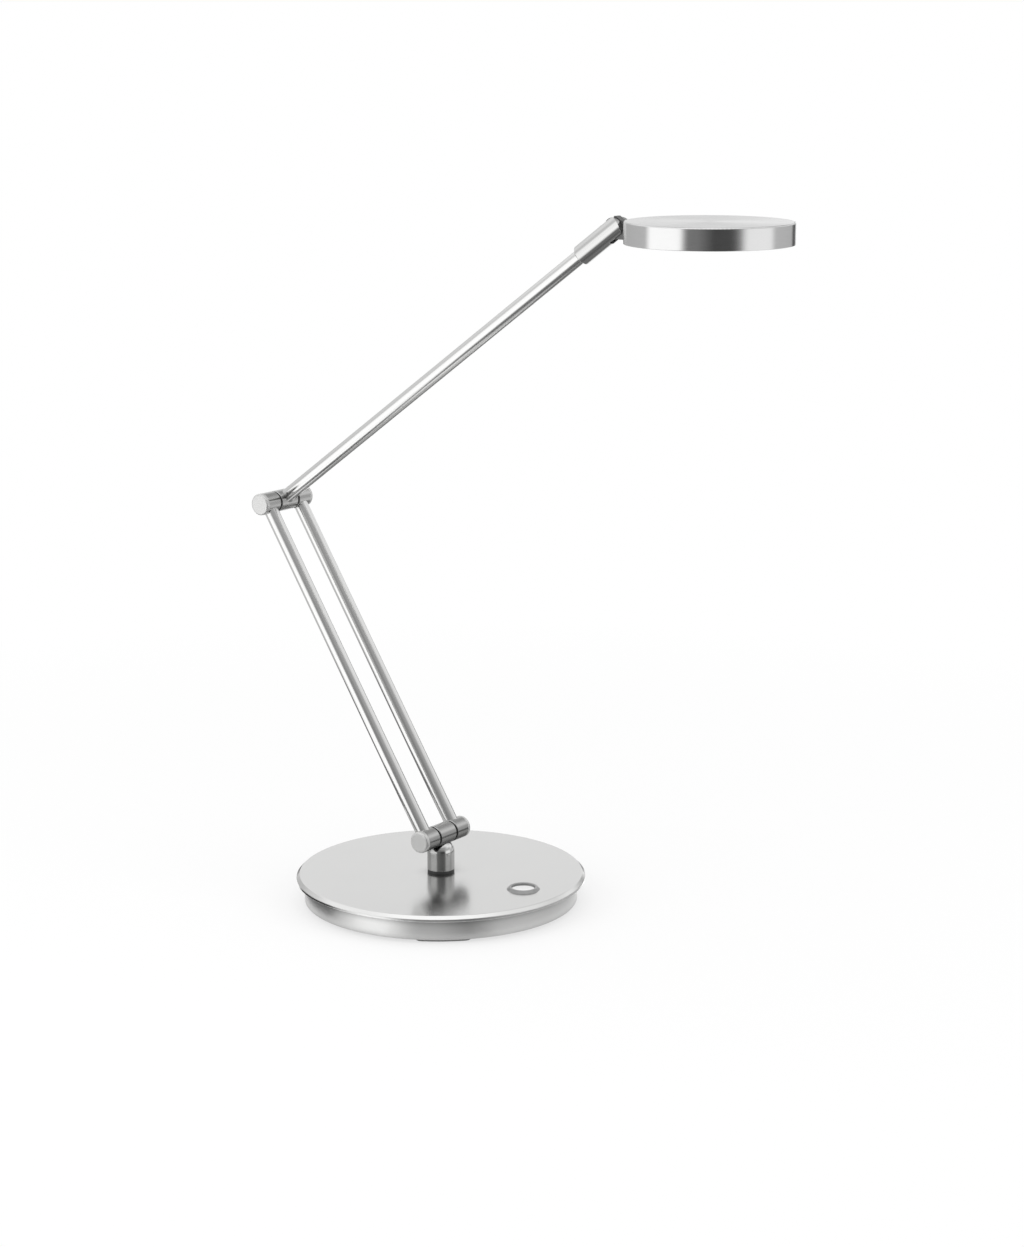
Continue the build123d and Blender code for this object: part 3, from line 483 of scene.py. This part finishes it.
upper_layer = (
    0.48,
    [(180, 32, 16, 0.95), (-88, 60, 30, 0.87), (5, 32, 20, 0.33), (60, 20, 20, 0.6), (128, 30, 24, 1.15)],
)
top_layer = (0.48, [(-100, 70, 40, 1.25), (95, 30, 40, 1.1)])
roof_layer = (0.9, [(0, 90, 60, 1.45)])

# Rings of the bowl round the lamp, from the base outwards over the table, up the wall and over the roof.
# Each ring has its distance, its height, its layer, and how far that layer hides the grey of the table.
table_grey = 0.16
table_height = 0.001
wall_distance = 2.4
roof_distance = 1.6
roof_height = 3.0
roof_hole = 0.01
bowl_rings = [
    (0.105, table_height, foot_layer, 1.0),
    (0.14, table_height, foot_layer, 1.0),
    (0.15, table_height, near_layer, 1.0),
    (0.168, table_height, near_layer, 1.0),
    (0.18, table_height, table_layer, 0.1),
    (0.24, table_height, table_layer, 0.12),
    (0.27, table_height, side_layer, 1.0),
    (0.36, table_height, side_layer, 1.0),
    (0.50, table_height, table_layer, 0.85),
    (0.80, table_height, table_layer, 1.0),
    (wall_distance, table_height, wall_foot_layer, 1.0),
    (wall_distance, 0.32, wall_foot_layer, 1.0),
    (wall_distance, 0.42, wall_layer, 1.0),
    (wall_distance, 0.55, wall_layer, 1.0),
    (wall_distance, 0.95, upper_layer, 1.0),
    (wall_distance, 1.25, upper_layer, 1.0),
    (wall_distance, 1.75, top_layer, 1.0),
    (wall_distance, 2.6, top_layer, 1.0),
    (roof_distance, roof_height, roof_layer, 1.0),
    (roof_hole, roof_height, roof_layer, 1.0),
]
bowl_steps = 240


def glow_at(layer, bearing):
    """Brightness of a layer at a bearing."""
    glow, cards = layer
    for middle, half_width, soft_edge, brightness in cards:
        away = abs((bearing - middle + 180) % 360 - 180)
        cover = min(1.0, max(0.0, (half_width - away) / soft_edge + 0.5))
        glow += (brightness - glow) * cover
    return glow


def bare_material(name):
    """New material with an empty tree."""
    material = bpy.data.materials.new(name)
    material.use_nodes = True
    material.node_tree.nodes.clear()
    return material, material.node_tree


def end_tree(tree, surface, kind="ShaderNodeOutputMaterial"):
    """Lead a shader to the tree's output."""
    add_node(tree, kind, {"Surface": surface})


def studio_bowl():
    """Table top, wall and roof round the lamp, seen only in reflections."""
    corners = []
    glows = []
    for distance, height, layer, share in bowl_rings:
        for step in range(bowl_steps + 1):
            bearing = -180 + 360 * step / bowl_steps
            corners.append(round_about(bearing, distance, height))
            glows.append(share * glow_at(layer, bearing) + (1 - share) * table_grey)
    row = bowl_steps + 1
    faces = []
    for ring in range(len(bowl_rings) - 1):
        for step in range(bowl_steps):
            first = ring * row + step
            faces.append((first, first + 1, first + 1 + row, first + row))
    mesh = bpy.data.meshes.new("studio_bowl")
    mesh.from_pydata(corners, [], faces)
    mesh.attributes.new("glow", "FLOAT", "POINT").data.foreach_set("value", glows)
    material, tree = bare_material("studio_bowl")
    strength = add_node(tree, "ShaderNodeAttribute", attribute_name="glow")
    light = add_node(tree, "ShaderNodeEmission", {"Strength": strength.outputs["Fac"]})
    end_tree(tree, light.outputs["Emission"])
    mesh.materials.append(material)
    bowl = bpy.data.objects.new("studio_bowl", mesh)
    scene.collection.objects.link(bowl)
    bowl.visible_camera = False
    bowl.visible_diffuse = False
    bowl.visible_transmission = False
    bowl.visible_shadow = False


lit_middle = Vector((0.05, 0, 0.2))


def softbox(name, bearing, distance, height, width, length, power):
    """Soft studio light that faces the middle of the lamp."""
    data = bpy.data.lights.new(name, "AREA")
    data.shape = "RECTANGLE"
    data.size = width
    data.size_y = length
    data.energy = power
    light = bpy.data.objects.new(name, data)
    light.location = round_about(bearing, distance, height)
    light.rotation_euler = (lit_middle - light.location).to_track_quat("-Z", "Y").to_euler()
    scene.collection.objects.link(light)
    light.visible_glossy = False


def background_rays(tree):
    """Socket that is 1 for rays from the camera, and for those that a mirror or glass sends on."""
    path = add_node(tree, "ShaderNodeLightPath")
    seen = calculate(tree, "MAXIMUM", path.outputs["Is Camera Ray"], path.outputs["Is Glossy Ray"])
    return calculate(tree, "MAXIMUM", seen, path.outputs["Is Transmission Ray"])


white = (1, 1, 1, 1)
sky_strength = 0.7


def studio_world():
    """White backdrop that lights the lamp a little less brightly than it looks."""
    world = bpy.data.worlds.new("studio")
    scene.world = world
    world.use_nodes = True
    tree = world.node_tree
    tree.nodes.clear()
    lit = add_node(tree, "ShaderNodeBackground", {"Color": white, "Strength": sky_strength})
    shown = add_node(tree, "ShaderNodeBackground", {"Color": white, "Strength": 1.0})
    mixed = add_node(
        tree,
        "ShaderNodeMixShader",
        {0: background_rays(tree), 1: lit.outputs["Background"], 2: shown.outputs["Background"]},
    )
    end_tree(tree, mixed.outputs["Shader"], "ShaderNodeOutputWorld")


floor_half = 40.0
floor_paint = (*grey(0.9), 1)
floor_white_near = 0.7
floor_white_far = 1.0
floor_fade_start = 0.15
floor_fade_end = 0.9


def studio_floor():
    """Pale floor that takes the lamp's shadow near the base and is white further out."""
    signs = [(-1, -1), (1, -1), (1, 1), (-1, 1)]
    mesh = bpy.data.meshes.new("floor")
    mesh.from_pydata([(floor_half * x, floor_half * y, 0) for x, y in signs], [], [(0, 1, 2, 3)])
    material, tree = bare_material("floor_white")
    paint = add_node(tree, "ShaderNodeBsdfDiffuse", {"Color": floor_paint})
    glow = add_node(tree, "ShaderNodeEmission", {"Color": white, "Strength": 1.0})
    place = add_node(tree, "ShaderNodeTexCoord")
    distance = vectors(tree, "LENGTH", place.outputs["Object"]).outputs["Value"]
    whiteness = spread(
        tree, distance, floor_white_near, floor_white_far, floor_fade_start, floor_fade_end
    )
    share = calculate(tree, "MULTIPLY", background_rays(tree), whiteness)
    mixed = add_node(
        tree, "ShaderNodeMixShader", {0: share, 1: paint.outputs["BSDF"], 2: glow.outputs["Emission"]}
    )
    end_tree(tree, mixed.outputs["Shader"])
    mesh.materials.append(material)
    floor = bpy.data.objects.new("floor", mesh)
    scene.collection.objects.link(floor)


studio_bowl()
softbox("softbox_left", bearing=-62, distance=2.0, height=1.2, width=1.4, length=1.6, power=14)
softbox("softbox_right", bearing=66, distance=2.0, height=1.2, width=1.2, length=1.6, power=9)
softbox("softbox_top", bearing=0, distance=0.2, height=2.2, width=1.6, length=1.6, power=12)
studio_world()
studio_floor()
